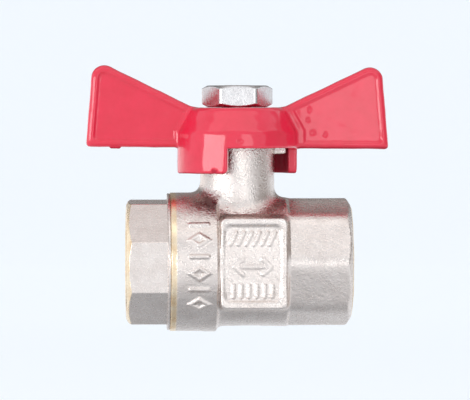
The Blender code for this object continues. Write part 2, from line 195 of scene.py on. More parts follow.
def surface_net(name, field, low, high, step):
    """Mesh of the surface where the field is zero, inside a box given in millimetres."""
    counts = [int(math.ceil((b - a) / step)) + 1 for a, b in zip(low, high)]
    axes = [(a + step * np.arange(n)).astype(np.float32) for a, n in zip(low, counts)]
    grids = np.meshgrid(*axes, indexing="ij", sparse=True)
    value = np.broadcast_to(field(*grids), counts).astype(np.float32)
    inside = value < 0
    strides = np.array([counts[1] * counts[2], counts[2], 1])
    quads, points = [], []
    for axis in range(3):
        first = [slice(None)] * 3
        second = [slice(None)] * 3
        first[axis], second[axis] = slice(None, -1), slice(1, None)
        start = np.stack(np.nonzero(inside[tuple(first)] != inside[tuple(second)]), axis=1)
        end = start.copy()
        end[:, axis] += 1
        a, b = value[tuple(start.T)], value[tuple(end.T)]
        place = start.astype(np.float64)
        place[:, axis] += a / (a - b)
        u, v = (axis + 1) % 3, (axis + 2) % 3
        cell = start @ strides
        ring = [cell, cell - strides[u], cell - strides[u] - strides[v], cell - strides[v]]
        ring = np.stack(ring, axis=1)
        flip = a > 0
        ring[flip] = ring[flip][:, ::-1]
        quads.append(ring)
        points.append(place)
    quads, points = np.concatenate(quads), np.concatenate(points)
    corner = np.unique(quads, return_inverse=True)[1].reshape(-1, 4)
    used = np.bincount(corner.ravel())
    vertices = np.stack([
        np.bincount(corner.ravel(), weights=np.repeat(points[:, axis], 4)) / used
        for axis in range(3)], axis=1)
    vertices = vertices * step + np.array(low)
    vertices, normals = settle(field, vertices, step)
    return mesh_object(name, vertices * MM, corner, normals)


def net_round_node(name, node, field, step, margin):
    """Mesh of a field in the box of a CAD node and a margin round it, in millimetres."""
    low, high = node_box_mm(node)
    return surface_net(name, field, [v - margin for v in low], [v + margin for v in high], step)


def gradient(field, p, reach):
    """Direction in which the field grows at each point, by central differences."""
    slopes = []
    for axis in range(3):
        ahead, behind = p.copy(), p.copy()
        ahead[:, axis] += reach
        behind[:, axis] -= reach
        slopes.append((field(*ahead.T) - field(*behind.T)) / (2 * reach))
    return np.stack(slopes, axis=1)


def settle(field, vertices, step):
    """Move each vertex onto the zero surface, and give the surface's normals there."""
    p = vertices.astype(np.float64)
    for _ in range(2):
        slope = gradient(field, p, 0.1 * step)
        square = np.maximum((slope ** 2).sum(axis=1), 0.05)
        move = -(field(*p.T) / square)[:, None] * slope
        length = np.linalg.norm(move, axis=1, keepdims=True)
        p += move * np.minimum(1.0, 0.35 * step / np.maximum(length, 1e-9))
    slope = gradient(field, p, 0.3 * step)
    return p, slope / np.maximum(np.linalg.norm(slope, axis=1, keepdims=True), 1e-9)


def mesh_object(name, vertices, faces, normals=None):
    """A smooth-shaded mesh object from arrays in metres."""
    mesh = bpy.data.meshes.new(name)
    mesh.vertices.add(len(vertices))
    mesh.vertices.foreach_set("co", np.asarray(vertices, np.float32).ravel())
    mesh.loops.add(faces.size)
    mesh.loops.foreach_set("vertex_index", faces.astype(np.int32).ravel())
    mesh.polygons.add(len(faces))
    mesh.polygons.foreach_set("loop_start", np.arange(0, faces.size, 4, dtype=np.int32))
    mesh.update(calc_edges=True)
    mesh.validate()
    mesh.shade_smooth()
    if normals is not None:
        mesh.normals_split_custom_set_from_vertices(normals.astype(np.float32))
    obj = bpy.data.objects.new(name, mesh)
    bpy.context.scene.collection.objects.link(obj)
    return obj


def turned(name, profile, axis, around=128):
    """Revolve a closed profile of (radius, place) points in millimetres about X or Z."""
    along, out = {"X": (Vector((1, 0, 0)), Vector((0, 0, 1))),
                  "Z": (Vector((0, 0, 1)), Vector((1, 0, 0)))}[axis]
    bm = bmesh.new()
    verts = [bm.verts.new((out * radius + along * place) * MM) for radius, place in profile]
    edges = [bm.edges.new((a, b)) for a, b in zip(verts, verts[1:] + verts[:1])]
    bmesh.ops.spin(bm, geom=verts + edges, axis=along, cent=(0, 0, 0), angle=math.tau,
                   steps=around, use_merge=True)
    bmesh.ops.remove_doubles(bm, verts=bm.verts, dist=1e-7)
    bmesh.ops.recalc_face_normals(bm, faces=bm.faces)
    mesh = bpy.data.meshes.new(name)
    bm.to_mesh(mesh)
    bm.free()
    mesh.shade_smooth()
    mesh.set_sharp_from_angle(angle=math.radians(35))
    obj = bpy.data.objects.new(name, mesh)
    bpy.context.scene.collection.objects.link(obj)
    return obj


def paint(obj, name, amount):
    """Store a number from 0 to 1 at each vertex, for the material to read."""
    layer = obj.data.attributes.new(name, "FLOAT", "POINT")
    layer.data.foreach_set("value", np.asarray(amount, np.float32))


def vertices_mm(obj):
    """The object's vertices in millimetres."""
    flat = np.empty(len(obj.data.vertices) * 3, np.float32)
    obj.data.vertices.foreach_get("co", flat)
    return flat.reshape(-1, 3) / MM


# Materials.

class Nodes:
    """Small helper for building a material's node tree."""

    def __init__(self, name):
        self.material = bpy.data.materials.new(name)
        self.material.use_nodes = True
        self.tree = self.material.node_tree
        self.shader = self.tree.nodes["Principled BSDF"]
        self.place = self.tree.nodes.new("ShaderNodeTexCoord").outputs["Object"]

    def add(self, kind, inputs=(), **settings):
        """Add a node; an input is a socket to link or a value to set."""
        node = self.tree.nodes.new(kind)
        for key, value in settings.items():
            setattr(node, key, value)
        for key, value in dict(inputs).items():
            self.set(node.inputs[key], value)
        return node

    def set(self, socket, value):
        """Link another socket to this one, or set its value."""
        if isinstance(value, bpy.types.NodeSocket):
            self.tree.links.new(value, socket)
        else:
            socket.default_value = value

    def noise(self, size_mm, detail=2.0, roughness=0.5, place=None):
        """Noise whose blobs are about size_mm across."""
        node = self.add("ShaderNodeTexNoise", {
            "Vector": place or self.place, "Scale": 1.0 / (size_mm * MM),
            "Detail": detail, "Roughness": roughness})
        return node.outputs["Fac"]

    def ramp(self, value, low, high, to_low=0.0, to_high=1.0):
        """Rescale a value from one range to another."""
        node = self.add("ShaderNodeMapRange", {
            "Value": value, "From Min": low, "From Max": high,
            "To Min": to_low, "To Max": to_high})
        return node.outputs["Result"]

    def blotches(self, size_mm, detail=4.0, roughness=0.6):
        """Noise stretched to run from 0 to 1 in soft-edged blotches."""
        return self.ramp(self.noise(size_mm, detail, roughness), 0.35, 0.7)

    def uneven(self, size_mm, low, high):
        """A number that wanders between two values, such as a roughness."""
        return self.ramp(self.noise(size_mm, 3.0), 0.3, 0.7, low, high)

    def math(self, operation, a, b):
        """One arithmetic step."""
        return self.add("ShaderNodeMath", {0: a, 1: b}, operation=operation).outputs[0]

    def mix(self, amount, a, b):
        """Blend two colours."""
        node = self.add("ShaderNodeMix", data_type="RGBA")
        self.set(node.inputs[0], amount)
        self.set(node.inputs[6], a)
        self.set(node.inputs[7], b)
        return node.outputs[2]

    def attribute(self, name):
        """Read a number stored at the vertices."""
        return self.add("ShaderNodeAttribute", attribute_name=name).outputs["Fac"]

    def bump(self, height, depth_mm, normal=None):
        """Bump whose height of 1 stands depth_mm proud."""
        inputs = {"Height": height, "Distance": depth_mm * MM, "Strength": 1.0}
        if normal is not None:
            inputs["Normal"] = normal
        return self.add("ShaderNodeBump", inputs).outputs["Normal"]

    def finish(self, **sockets):
        """Set the shader's own sockets and give the material back."""
        for key, value in sockets.items():
            self.set(self.shader.inputs[key.replace("_", " ")], value)
        return self.material


NICKEL_LIGHT = (0.82, 0.735, 0.685, 1.0)
NICKEL_WARM = (0.74, 0.65, 0.60, 1.0)
BRASS_LIGHT = (0.98, 0.82, 0.60, 1.0)
BRASS_DEEP = (0.86, 0.62, 0.38, 1.0)
PAINT_LIGHT = (0.77, 0.008, 0.046, 1.0)
PAINT_DEEP = (0.71, 0.005, 0.036, 1.0)
# Darker red painted as shade inside the hub and along the lower edges of the wings and tabs.
PAINT_SHADED = (0.34, 0.002, 0.020, 1.0)
PEBBLE_SIZE = 0.42              # of the dimples that shot blasting leaves, in millimetres


def brass_colour(n):
    """Bare machined brass with faint streaks and stains."""
    return n.mix(n.blotches(2.5, 3.0, 0.5), BRASS_LIGHT, BRASS_DEEP)


def turned_lines(n, spacing_mm):
    """Fine rings left by a turning tool, stacked along the flow axis."""
    stretched = n.add("ShaderNodeMapping", {"Vector": n.place, "Scale": (1.0, 0.02, 0.02)})
    return n.noise(spacing_mm, 1.0, 0.5, stretched.outputs["Vector"])


def forged_nickel():
    """Nickel plate over a shot-blasted forging, bare brass where it was machined afterwards."""
    n = Nodes("forged_nickel")
    bare = n.attribute("bare")
    nickel = n.mix(n.blotches(3.0), NICKEL_LIGHT, NICKEL_WARM)
    colour = n.mix(bare, nickel, brass_colour(n))
    forged = n.math("SUBTRACT", 1.0, bare)
    pebbles = n.add("ShaderNodeTexVoronoi", {
        "Vector": n.place, "Scale": 1.0 / (PEBBLE_SIZE * MM), "Smoothness": 0.7},
        feature="SMOOTH_F1")
    grain = n.math("MULTIPLY", pebbles.outputs["Distance"], 0.55)
    grain = n.math("ADD", grain, n.noise(0.30, 2.0, 0.6))
    grain = n.math("ADD", grain, n.math("MULTIPLY", n.noise(0.9, 2.0), 1.1))
    height = n.math("ADD", n.math("MULTIPLY", grain, forged),
                    n.math("MULTIPLY", turned_lines(n, 0.16), n.math("MULTIPLY", bare, 0.10)))
    rough = n.uneven(1.2, 0.22, 0.33)
    return n.finish(Base_Color=colour, Metallic=1.0, Roughness=rough,
                    Normal=n.bump(height, 0.075))


def machined_nickel():
    """Nickel plate over milled flats, bare brass where the end was faced and threaded."""
    n = Nodes("machined_nickel")
    bare = n.attribute("bare")
    nickel = n.mix(n.blotches(2.5), NICKEL_LIGHT, NICKEL_WARM)
    colour = n.mix(bare, nickel, brass_colour(n))
    grain = n.add("ShaderNodeMapping", {"Vector": n.place, "Scale": (0.25, 1.0, 1.0)})
    streaks = n.noise(0.22, 3.0, 0.65, grain.outputs["Vector"])
    height = n.math("ADD", streaks, n.math("MULTIPLY", n.noise(0.45, 2.0), 0.8))
    rough = n.uneven(1.0, 0.2, 0.32)
    return n.finish(Base_Color=colour, Metallic=1.0, Roughness=rough,
                    Normal=n.bump(height, 0.03))


def bare_brass():
    """Turned brass of the stem and the gland nut."""
    n = Nodes("bare_brass")
    rough = n.uneven(0.8, 0.2, 0.35)
    return n.finish(Base_Color=brass_colour(n), Metallic=1.0, Roughness=rough,
                    Normal=n.bump(n.noise(0.15, 2.0), 0.008))


def red_paint():
    """Thick gloss paint over a rough casting. Inside the hub and along its lower edges it is
    rougher with little coat, and its red is darkened there as painted shade.
    """
    n = Nodes("red_paint")
    inside = n.attribute("inside")
    colour = n.mix(n.blotches(4.0, 3.0), PAINT_LIGHT, PAINT_DEEP)
    # Painted shade: the red darkens where the inside attribute is set, in the hub's hollow and
    # along lower edges.
    colour = n.mix(inside, colour, PAINT_SHADED)
    waves = n.noise(2.6, 1.0)
    peel = n.noise(0.7, 2.0)
    height = n.math("ADD", waves, n.math("MULTIPLY", peel, 0.18))
    rough = n.uneven(1.5, 0.42, 0.55)
    rough = n.math("ADD", rough, n.math("MULTIPLY", inside, 0.35))
    coat = n.ramp(inside, 0.0, 1.0, 1.0, 0.04)
    return n.finish(Base_Color=colour, Roughness=rough, Specular_IOR_Level=0.2,
                    Coat_Weight=coat, Coat_Roughness=0.10, Coat_IOR=1.6,
                    Normal=n.bump(height, 0.05))


def plated_steel():
    """Bright zinc plate of the nut, faintly mottled."""
    n = Nodes("plated_steel")
    colour = n.mix(n.blotches(1.4), (0.76, 0.73, 0.72, 1.0), (0.62, 0.59, 0.585, 1.0))
    rough = n.uneven(0.7, 0.16, 0.3)
    return n.finish(Base_Color=colour, Metallic=1.0, Roughness=rough,
                    Normal=n.bump(n.noise(0.5, 3.0, 0.6), 0.02))


def chrome():
    """Polished chrome of the ball."""
    n = Nodes("chrome")
    rough = n.uneven(1.5, 0.05, 0.11)
    colour = n.mix(n.noise(3.0, 2.0), (0.90, 0.90, 0.92, 1.0), (0.82, 0.83, 0.86, 1.0))
    return n.finish(Base_Color=colour, Metallic=1.0, Roughness=rough)


def ptfe():
    """White PTFE with a waxy surface."""
    n = Nodes("ptfe")
    colour = n.mix(n.noise(2.0, 3.0), (0.90, 0.90, 0.87, 1.0), (0.82, 0.82, 0.80, 1.0))
    rough = n.uneven(0.8, 0.35, 0.5)
    return n.finish(Base_Color=colour, Roughness=rough, Normal=n.bump(n.noise(0.3, 2.0), 0.006))


def rubber():
    """Black moulded rubber."""
    n = Nodes("rubber")
    colour = n.mix(n.noise(1.0, 3.0), (0.025, 0.025, 0.027, 1.0), (0.045, 0.045, 0.047, 1.0))
    rough = n.uneven(0.5, 0.5, 0.7)
    return n.finish(Base_Color=colour, Roughness=rough, Normal=n.bump(n.noise(0.2, 2.0), 0.006))


# Painted shadow on the stage: a soft round patch under the valve where the glow is cut away, from
# nothing at the inner radius to full at the outer.
PAINTED_SHADOW_FORWARD = 0.014     # metres from under the valve's middle towards the camera
PAINTED_SHADOW_RADII = (0.022, 0.07)
STAGE_GLOW = 0.475


def pale_stage():
    """Pale sweep that glows evenly, with a painted shadow: the glow fades out in a small patch
    under the valve.
    """
    n = Nodes("pale_stage")
    parts = n.add("ShaderNodeSeparateXYZ", {0: n.place})
    forward = n.math("ADD", parts.outputs[1], PAINTED_SHADOW_FORWARD)
    across = n.math("POWER", n.math("ADD", n.math("POWER", parts.outputs[0], 2.0),
                                    n.math("POWER", forward, 2.0)), 0.5)
    # Painted shadow: no glow under the valve, full glow past the outer radius.
    glow = n.ramp(across, *PAINTED_SHADOW_RADII, 0.0, STAGE_GLOW)
    return n.finish(Base_Color=(0.50, 0.52, 0.54, 1.0), Roughness=0.9,
                    Emission_Color=(0.93, 0.97, 1.0, 1.0), Emission_Strength=glow)


# Body.

def octagon_end(x, y, z, end_x, first_angle, face_radius, corner_radius, k):
    """Octagonal pipe end with its outer edge turned to a chamfer at end_x."""
    r = np.hypot(y, z)
    outward = math.copysign(1.0, end_x)
    bar = polygon_bar(FLATS, 8, first_angle, y, z, k)
    bar = smooth_max(bar, r - corner_radius, k)
    reach = (x - end_x) * outward
    chamfer = line_field(r, reach, (corner_radius, -CHAMFER_DEPTH), (face_radius, 0.0))
    return round_box(k * 0.6, bar, chamfer, reach)


def socket_hollow(x, y, z, end_x):
    """Threaded socket and the port behind it, as the space that they take."""
    r = np.hypot(y, z)
    outward = math.copysign(1.0, end_x)
    deep = x * outward
    wave = thread_wave(x, np.arctan2(z, y), THREAD_PITCH)
    runout = smooth_step(SOCKET_BOTTOM + 0.3, SOCKET_BOTTOM + 1.2, deep)
    socket = (r - THREAD_MINOR_RADIUS - THREAD_DEPTH * wave * runout) * 0.6
    socket = np.maximum(socket, SOCKET_BOTTOM - deep)
    end = abs(end_x)
    mouth = (r - (THREAD_MINOR_RADIUS + SOCKET_MOUTH + (deep - end))) * 0.7
    port = np.maximum(r - PORT_RADIUS, WEB_INNER - 2.0 - deep)
    return np.minimum(np.minimum(socket, np.maximum(mouth, end - 2.0 - deep)), port)


def raised(distance):
    """Height of a raised mark: 1 on it, 0 beyond its soft edge."""
    return 1.0 - smooth_step(-0.25, 0.32, distance)


def nearest(distances):
    """The smallest of several distances."""
    result = distances[0]
    for distance in distances[1:]:
        result = np.minimum(result, distance)
    return result


def pad_marks(x, z, middle_x):
    """Three rows of plain marks on a pad: slanted hatching, a two-way arrow, and bars."""
    u = x - middle_x
    shapes = [stroke(u, z, (-3.4, -0.6), (3.4, -0.6), 0.36)]
    for tip in (-3.7, 3.7):
        back = tip - math.copysign(1.6, tip)
        for side in (-1.5, 1.5):
            shapes.append(stroke(u, z, (tip, -0.6), (back, -0.6 + side), 0.36))
    for index in range(6):
        place = -4.0 + 1.6 * index
        shapes.append(stroke(u, z, (place - 0.55, 4.0), (place + 0.55, 6.4), 0.3))
        shapes.append(stroke(u, z, (place, -4.4), (place, -6.8), 0.32))
    return MARK_HEIGHT * raised(nearest(shapes))


def collar_marks(x, y, z):
    """A column of plain marks round the collar: lozenges with a bar between them."""
    v = COLLAR_RADIUS * np.arctan2(z, np.abs(y))
    middle, half_wide, pitch = -8.3, 1.75, 3.45
    shapes = []
    for index in range(6):
        place = (index - 2.5) * pitch - 0.2
        if index % 2:
            ends = (middle - half_wide, place), (middle + half_wide, place)
            shapes.append(stroke(x, v, *ends, 0.36))
        else:
            across = np.abs(x - middle) / half_wide + np.abs(v - place) / 1.15
            shapes.append(np.abs(across - 1.0) * 0.85 - 0.3)
    return MARK_HEIGHT * raised(nearest(shapes))


def body_outside(x, y, z):
    """Forged outer shape of the body, with no hollows."""
    r = np.hypot(y, z)
    uneven = 0.06 * ripple(x, y, z, 7.0, 1.3)
    collar = round_box(0.32, r - COLLAR_RADIUS, COLLAR_X[0] - x, x - COLLAR_X[1])
    chamber = round_box(0.6, r - CHAMBER_RADIUS, CHAMBER_X[0] - x, x - CHAMBER_X[1])
    body = smooth_min(collar, chamber, 1.8)
    octagon = octagon_end(x, y, z, BODY_HIGH.x, math.pi / 8, BODY_FACE_RADIUS,
                          BODY_CORNER_RADIUS, 0.5)
    octagon = np.maximum(octagon, 5.0 - x)
    body = smooth_min(body, octagon, 0.45)
    r_stem = np.hypot(x, y)
    neck = round_box(0.4, r_stem - NECK_RADIUS, z - NECK_TOP, -z)
    body = smooth_min(body, neck, 2.4)
    return smooth_min(body, pads(x, y, z), 0.35) + uneven * smooth_step(-13.0, -11.5, x)


def pads(x, y, z):
    """The two flat marking pads, with forging draft on their sides."""
    side = np.abs(y)
    draft = PAD_DRAFT * (PAD_FACE - side)
    wide = np.abs(x - sum(PAD_X) / 2) - (PAD_X[1] - PAD_X[0]) / 2 - draft
    tall = np.abs(z - sum(PAD_Z) / 2) - (PAD_Z[1] - PAD_Z[0]) / 2 - draft
    return smooth_max(smooth_max(wide, tall, 1.5), side - PAD_FACE, 0.4)


def pad_fields(x, y, z):
    """Shallow hollow in each pad's face, which drops away towards its ends."""
    drop = 0.22 + 0.42 * (z / 7.8) ** 2
    floor = PAD_FACE - drop + pad_marks(x, z, sum(FIELD_X) / 2)
    slope = 0.6 * (PAD_FACE - np.abs(y))
    wide = np.abs(x - sum(FIELD_X) / 2) - (FIELD_X[1] - FIELD_X[0]) / 2 + slope
    tall = np.abs(z - sum(FIELD_Z) / 2) - (FIELD_Z[1] - FIELD_Z[0]) / 2 + slope
    return smooth_max(smooth_max(wide, tall, 1.6), floor - np.abs(y), 0.5)


def stop_lugs(x, y, z):
    """The two stops at the neck's top that limit the handle's turn."""
    side = np.abs(y) * math.cos(LUG_HALF_ANGLE) - np.abs(x) * math.sin(LUG_HALF_ANGLE)
    return round_box(0.4, np.hypot(x, y) - LUG_RADIUS, side, LUG_BOTTOM - z, z - NECK_TOP)


def body_hollow(x, y, z):
    """Everything bored out of the body: chamber, seat pocket, socket and stem way."""
    r = np.hypot(y, z)
    r_stem = np.hypot(x, y)
    chamber = round_box(0.2, r - CHAMBER_BORE_RADIUS, CHAMBER_BORE_X[0] - x,
                        x - CHAMBER_BORE_X[1])
    thread = np.maximum(r - CONNECTOR_BORE_RADIUS, x - CONNECTOR_BORE_END)
    pocket = np.maximum(np.maximum(r - SEAT_POCKET_RADIUS, x - WEB_INNER), -x)
    hollow = np.minimum(np.minimum(chamber, thread), pocket)
    hollow = np.minimum(hollow, socket_hollow(x, y, z, BODY_HIGH.x))
    stem_way = np.maximum(r_stem - STEM_COLLAR_BORE_RADIUS, np.maximum(z - NECK_SHOULDER, -z))
    stem_way = np.minimum(stem_way, np.maximum(r_stem - STEM_BORE_RADIUS, -z))
    stem_way = np.minimum(stem_way, np.maximum(r_stem - PACKING_RADIUS, PACKING_FLOOR - z))
    return np.minimum(hollow, stem_way)


def body_field(x, y, z):
    """The whole body."""
    solid = smooth_min(body_outside(x, y, z), stop_lugs(x, y, z), 0.5)
    solid = smooth_max(solid, -pad_fields(x, y, z), 0.45)
    return smooth_max(solid, -body_hollow(x, y, z), 0.2)


def with_collar_marks(field):
    """The same field with the collar's marks standing proud."""
    def marked(x, y, z):
        return field(x, y, z) - collar_marks(x, y, z) * (np.hypot(y, z) > 13.9)
    return marked


def make_body():
    """Mesh of the body and the numbers its material reads."""
    body = net_round_node("body_forging", "valve_body", with_collar_marks(body_field),
                          step=0.25, margin=0.8)
    p = vertices_mm(body)
    x, r = p[:, 0], np.hypot(p[:, 1], p[:, 2])
    band = (1.0 - smooth_step(BARE_BAND_END - 0.25, BARE_BAND_END, x)) * (r > 12.9)
    # Bare bores: the chamber and its thread before the web's face, and the socket after it.
    bored = (r < 12.6) & (x < 10.4) & (np.abs(p[:, 2]) < 12.6) | (r < 10.9) & (x > 10.4)
    faced = smooth_step(BODY_HIGH.x - 0.35, BODY_HIGH.x - 0.15, x)
    paint(body, "bare", np.clip(band + bored + faced, 0.0, 1.0))
    return body


# Connector.

def connector_field(x, y, z):
    """Screwed-in end: octagon, flange, male thread and seat pocket."""
    r = np.hypot(y, z)
    octagon = octagon_end(x, y, z, CONNECTOR_LOW.x, CONNECTOR_TURN, CONNECTOR_FACE_RADIUS,
                          CONNECTOR_CORNER_RADIUS, 0.14)
    octagon = np.maximum(octagon, x - CONNECTOR_OCTAGON_END)
    flange = round_box(0.12, r - FLANGE_RADIUS, FLANGE_X[0] - x, x - FLANGE_X[1])
    male = round_box(0.3, r - MALE_THREAD_RADIUS, MALE_THREAD_START - x, x - CONNECTOR_HIGH.x)
    solid = np.minimum(smooth_min(octagon, flange, 0.12), male)
    pocket = np.maximum(r - SEAT_POCKET_RADIUS, -WEB_INNER - x)
    hollow = np.minimum(socket_hollow(x, y, z, CONNECTOR_LOW.x), pocket)
    return smooth_max(solid, -hollow, 0.15)


def make_connector():
    """Mesh of the end connector, bare where it was machined after plating."""
    connector = net_round_node("connector", "end_connector", connector_field,
                               step=0.22, margin=0.6)
    p = vertices_mm(connector)
    x, r = p[:, 0], np.hypot(p[:, 1], p[:, 2])
    cone = CONNECTOR_FACE_RADIUS + (x - CONNECTOR_LOW.x) * (
        CONNECTOR_CORNER_RADIUS - CONNECTOR_FACE_RADIUS) / CHAMFER_DEPTH
    chamfer = (np.abs(r - cone) < 0.12) & (x < CONNECTOR_LOW.x + 1.1)
    face = x < CONNECTOR_LOW.x + 0.1
    bored = (r < 11.0) | (x > -14.0)
    paint(connector, "bare", (chamfer | face | bored).astype(float))
    return connector


# Handle.

BAND_RADIUS = 12.45
BAND_BOTTOM = 23.6
BAND_TOP = 26.8
HUB_TOP = 32.0
HUB_TOP_RADIUS = 9.75
CAVITY_RADIUS = 10.5
CAVITY_TOP = 27.0
TAB_SWEEP = math.radians(78)
RIB_START = math.radians(101)
RIB_SWEEP = math.radians(68)
RIB_RADII = (8.2, 11.0)
RIB_BOTTOM = 24.0
HUB_HOLE_RADIUS = 4.1
HUB_HOLE_FLAT = 2.95            # the hole's two flats drive the stem
WING_SPAN = HANDLE_HIGH.x
WING_LEAN = 1.14
WING_TIP_RADIUS = 2.7
WING_TOP = HANDLE_HIGH.z + 0.05
WING_TILT = 0.008
WING_SLOPE = math.radians(25.8)
WING_HALF = 2.5


def wing_outline(x, z):
    """Signed distance in the XZ plane to the outline of both wings, which sit a little askew."""
    u = np.abs(x)
    z = z + WING_TILT * x
    tip_u = WING_SPAN - WING_LEAN - WING_TIP_RADIUS
    tip_z = WING_TOP - WING_TIP_RADIUS
    lean = math.atan2(WING_LEAN, tip_z - BAND_BOTTOM)
    end = (u - tip_u) * math.cos(lean) + (z - tip_z) * math.sin(lean)
    slope = -(u - tip_u) * math.sin(WING_SLOPE) + (z - tip_z) * math.cos(WING_SLOPE)
    corner = np.hypot(u - tip_u, z - tip_z)
    past_end = (u - tip_u) * -math.sin(lean) + (z - tip_z) * math.cos(lean) > 0
    past_slope = (u - tip_u) * math.cos(WING_SLOPE) + (z - tip_z) * math.sin(WING_SLOPE) > 0
    top = np.where(past_end & past_slope, corner, np.maximum(end, slope)) - WING_TIP_RADIUS
    return smooth_max(top, BAND_BOTTOM - z, 1.0)


RIM = 1.15                      # width of the rim round each wing's hollow
FIELD_DROP = 0.42               # depth of the hollow
BEND = 0.04                     # slope of the right wing out of true

# Dents in the right wing's paint near the hub: place along X, height, radius.
DENTS = ((14.9, 31.4, 0.9), (14.6, 29.4, 0.8), (15.6, 26.7, 1.1), (18.2, 26.4, 0.8))
DENT_DEPTH = 0.17


def wings(x, y, z):
    """Both wings: a soft rim round a shallow hollow, and rounded outer edges.

    The right wing is a touch out of true, as castings are, so it takes the light differently.
    """
    outline = wing_outline(x, z)
    bent = y - BEND * np.maximum(x - 13.0, 0.0)
    root = 10.2 + (31.5 - np.maximum(z, 27.2)) * 0.55 + np.where(x > 0, 0.95, 0.0)
    rim = np.where(x > 0, RIM - 0.2, RIM)
    inner = np.minimum(-outline - rim, np.abs(x) - root)
    hollow = np.where(x > 0, 0.75, 1.0) * FIELD_DROP * smooth_step(0.0, 0.75, inner)
    for dent_x, dent_z, radius in DENTS:
        near = np.hypot(1.25 * (x - dent_x), z - dent_z) + 0.28 * ripple(x, y, z, 1.7, radius)
        hollow = hollow + DENT_DEPTH * (1.0 - smooth_step(0.0, radius, near)) * (y < 0)
    face = np.abs(bent) - WING_HALF + hollow
    return smooth_max(outline, face, 1.3)


def hub_outside(x, y, z):
    """Band and cone of the hub."""
    r = np.hypot(x, y)
    cone = line_field(r, z, (BAND_RADIUS, BAND_TOP), (HUB_TOP_RADIUS, HUB_TOP))
    hub = smooth_max(r - BAND_RADIUS, cone, 0.25)
    hub = smooth_max(hub, z - HUB_TOP, 0.8)
    return smooth_max(hub, BAND_BOTTOM - z, 0.5)


def sector(x, y, start, sweep):
    """Wedge about the stem axis that starts at an angle and sweeps less than half a turn."""
    stop = start + sweep
    before = x * math.sin(start) - y * math.cos(start)
    after = y * math.cos(stop) - x * math.sin(stop)
    return np.maximum(before, after)


def skirt_tabs(x, y, z):
    """The two curved tabs that hang from the band, opposite each other."""
    r = np.hypot(x, y)
    wall = round_box(0.5, r - BAND_RADIUS, 10.45 - r, z - BAND_BOTTOM - 2.2)
    result = None
    for start in (0.0, math.pi):
        wedge = sector(x, y, start, TAB_SWEEP)
        tab = smooth_max(wall, smooth_max(wedge, HANDLE_LOW.z - z, 1.3), 0.5)
        result = tab if result is None else np.minimum(result, tab)
    return result


def stop_ribs(x, y, z):
    """The two ribs inside the hub that meet the body's stop lugs."""
    r = np.hypot(x, y)
    wall = round_box(0.3, r - RIB_RADII[1], RIB_RADII[0] - r, RIB_BOTTOM - z,
                     z - CAVITY_TOP - 0.5)
    result = None
    for start in (RIB_START, RIB_START + math.pi):
        rib = smooth_max(wall, sector(x, y, start, RIB_SWEEP), 0.3)
        result = rib if result is None else np.minimum(result, rib)
    return result


# Drops of paint that set below the left wing and at a tab's edge: start, end, radius.
PAINT_RUNS = (((-26.1, -1.6, 23.75), (-24.5, -1.6, 23.7), 0.26),
              ((-5.4, -11.2, 18.95), (-4.9, -11.4, 18.9), 0.34))
PAINT_PIT = ((-0.1, -12.6, 25.0), (0.2, -12.6, 25.0), 0.38)


def capsule(x, y, z, start, end, radius):
    """Round-ended rod between two points in space."""
    along = np.subtract(end, start)
    reach = (x - start[0]) * along[0] + (y - start[1]) * along[1] + (z - start[2]) * along[2]
    t = np.clip(reach / float(along @ along), 0.0, 1.0)
    gaps = [v - first - t * step for v, first, step in zip((x, y, z), start, along)]
    return np.sqrt(gaps[0] ** 2 + gaps[1] ** 2 + gaps[2] ** 2) - radius


def handle_field(x, y, z):
    """The whole handle casting."""
    r = np.hypot(x, y)
    uneven = 0.05 * ripple(x, y, z, 6.0, 4.1) + 0.02 * ripple(x, y, z, 2.6, 0.7)
    outside = smooth_min(hub_outside(x, y, z), wings(x, y, z), 0.7)
    outside = np.minimum(outside, skirt_tabs(x, y, z))
    outside = smooth_max(outside, -capsule(x, y, z, *PAINT_PIT), 0.3)
    cavity = round_box(0.6, r - CAVITY_RADIUS, z - CAVITY_TOP)
    hole = round_box(0.2, r - HUB_HOLE_RADIUS, np.abs(x) - HUB_HOLE_FLAT)
    solid = smooth_max(outside, -cavity, 0.35)
    solid = np.minimum(solid, np.minimum(stop_ribs(x, y, z), skirt_tabs(x, y, z)))
    for run in PAINT_RUNS:
        solid = smooth_min(solid, capsule(x, y, z, *run), 0.4)
    return smooth_max(solid, -hole, 0.3) + uneven


def make_handle():
    """Mesh of the handle."""
    handle = net_round_node("handle_casting", "handle", handle_field, step=0.26, margin=0.8)
    p = vertices_mm(handle)
    r = np.hypot(p[:, 0], p[:, 1])
    # Where painted shade goes: the hub's hollow and stem hole in full, and the lower edges of the
    # wings and tabs in part.
    hollow = (1.0 - smooth_step(10.5, 10.9, r)) * (p[:, 2] < CAVITY_TOP + 0.3)
    wing_bottom = 1.0 - smooth_step(BAND_BOTTOM + 0.05, BAND_BOTTOM + 0.4, p[:, 2])
    wing_bottom = wing_bottom * (r > 12.6)
    tab_bottom = 1.0 - smooth_step(HANDLE_LOW.z + 0.05, HANDLE_LOW.z + 0.4, p[:, 2])
    underside_shade = 0.7 * np.maximum(wing_bottom, tab_bottom)
    paint(handle, "inside", np.maximum(np.maximum(hollow, r < 4.5), underside_shade))
    return handle


# Nut, stem and ball.

NUT_Z = (HUB_TOP + 0.05, node_box_mm("handle_nut")[1].z - 0.3)
NUT_FLATS = 13.0
NUT_CORNER_RADIUS = 7.35
NUT_FACE_RADIUS = 6.15
NUT_CHAMFER_DEPTH = 0.68
NUT_BORE_RADIUS = 4.1
STEM_PITCH = 1.25
STEM_RADIUS = 3.95
STEM_FLATS = (2.8, 26.8)        # half the width across, and the height at which they start
STEM_GROOVE_RADIUS = 2.75
STEM_GROOVE_Z = 16.4
STEM_COLLAR_RADIUS = 5.4
STEM_COLLAR_Z = (11.2, 13.1)
TANG_HALF = (1.6, 3.1)
SLOT_HALF = 1.9
SLOT_FLOOR = 7.9

# Rings round the stem: CAD node, inner radius, outer radius.
PTFE_RINGS = (("stem_thrust_washer", 4.3, 5.4), ("packing_ring_lower", 4.25, 5.75),
              ("packing_ring_upper", 4.25, 5.75))


